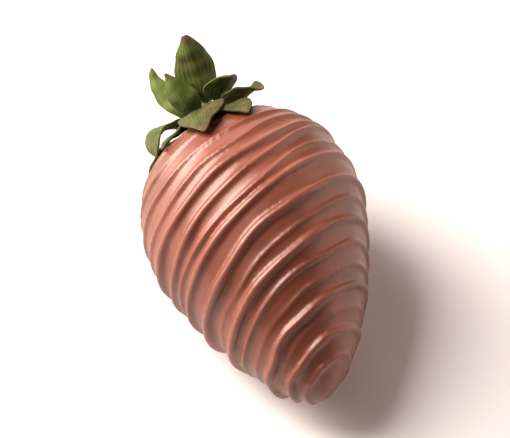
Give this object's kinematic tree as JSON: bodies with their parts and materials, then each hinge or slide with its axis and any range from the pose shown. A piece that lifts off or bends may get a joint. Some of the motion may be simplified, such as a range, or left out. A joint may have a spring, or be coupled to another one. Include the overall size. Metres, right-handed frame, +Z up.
{
  "type": "chocolate coated strawberry",
  "caption": "Whole strawberry lying on its side, dipped in milk chocolate with slanting drizzle ridges, its green leafy cap left bare.",
  "frame": {"origin": "on the floor, under the middle of the object's bounding box", "axes": "+Z up; the fruit's axis lies along Y, its tip towards -Y and a little down and its leafy cap towards +Y; +X is to the right seen from the tip"},
  "size_m": [0.0378, 0.0608, 0.0357],
  "materials": {
    "milk_chocolate": "set milk chocolate, satin, with smooth drizzle ridges",
    "sepal_green": "matt green leaf with faint veins and dried brown points",
    "bractlet_green": "matt pale green leaf",
    "stalk_green": "matt pale green stalk with a dry cut end"
  },
  "bodies": {
    "root": {"coated_berry": "milk_chocolate", "cap_hub": "stalk_green", "sepal_01": "sepal_green", "sepal_02": "sepal_green", "sepal_03": "sepal_green", "sepal_04": "sepal_green", "sepal_05": "sepal_green", "sepal_06": "sepal_green", "sepal_07": "sepal_green", "sepal_08": "sepal_green", "sepal_09": "sepal_green", "sepal_10": "sepal_green", "sepal_11": "sepal_green", "bractlet_01": "bractlet_green", "bractlet_02": "bractlet_green", "bractlet_03": "bractlet_green", "bractlet_04": "bractlet_green", "bractlet_05": "bractlet_green"}
  },
  "joints": []
}
